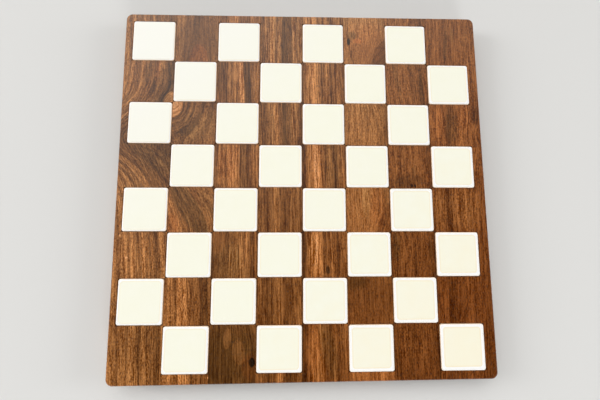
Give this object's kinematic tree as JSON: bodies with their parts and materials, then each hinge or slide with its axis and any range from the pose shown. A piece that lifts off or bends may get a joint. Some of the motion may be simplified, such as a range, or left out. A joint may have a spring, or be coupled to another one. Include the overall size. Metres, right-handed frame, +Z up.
{
  "type": "checkerboard",
  "caption": "Square checkerboard of glued hardwood staves, with a glazed ceramic tile bedded in every light square.",
  "frame": {"origin": "on the table, under the centre of the board's square outline", "axes": "+Z up out of the playing surface, +Y along the staves from rank 1 to rank 8, +X from file a to file h"},
  "size_m": [0.4272, 0.4272, 0.023],
  "materials": {
    "walnut": "satin",
    "glazed_tile": "gloss",
    "adhesive": "matte",
    "felt": "matte"
  },
  "bodies": {
    "root": {"stave_a": "walnut", "stave_b": "walnut", "stave_c": "walnut", "stave_d": "walnut", "stave_e": "walnut", "stave_f": "walnut", "stave_g": "walnut", "stave_h": "walnut", "tile_a2": "glazed_tile", "tile_a4": "glazed_tile", "tile_a6": "glazed_tile", "tile_a8": "glazed_tile", "tile_b1": "glazed_tile", "tile_b3": "glazed_tile", "tile_b5": "glazed_tile", "tile_b7": "glazed_tile", "tile_c2": "glazed_tile", "tile_c4": "glazed_tile", "tile_c6": "glazed_tile", "tile_c8": "glazed_tile", "tile_d1": "glazed_tile", "tile_d3": "glazed_tile", "tile_d5": "glazed_tile", "tile_d7": "glazed_tile", "tile_e2": "glazed_tile", "tile_e4": "glazed_tile", "tile_e6": "glazed_tile", "tile_e8": "glazed_tile", "tile_f1": "glazed_tile", "tile_f3": "glazed_tile", "tile_f5": "glazed_tile", "tile_f7": "glazed_tile", "tile_g2": "glazed_tile", "tile_g4": "glazed_tile", "tile_g6": "glazed_tile", "tile_g8": "glazed_tile", "tile_h1": "glazed_tile", "tile_h3": "glazed_tile", "tile_h5": "glazed_tile", "tile_h7": "glazed_tile", "adhesive_a": "adhesive", "adhesive_b": "adhesive", "adhesive_c": "adhesive", "adhesive_d": "adhesive", "adhesive_e": "adhesive", "adhesive_f": "adhesive", "adhesive_g": "adhesive", "adhesive_h": "adhesive", "pad_front_left": "felt", "pad_front_right": "felt", "pad_back_left": "felt", "pad_back_right": "felt"}
  },
  "joints": []
}
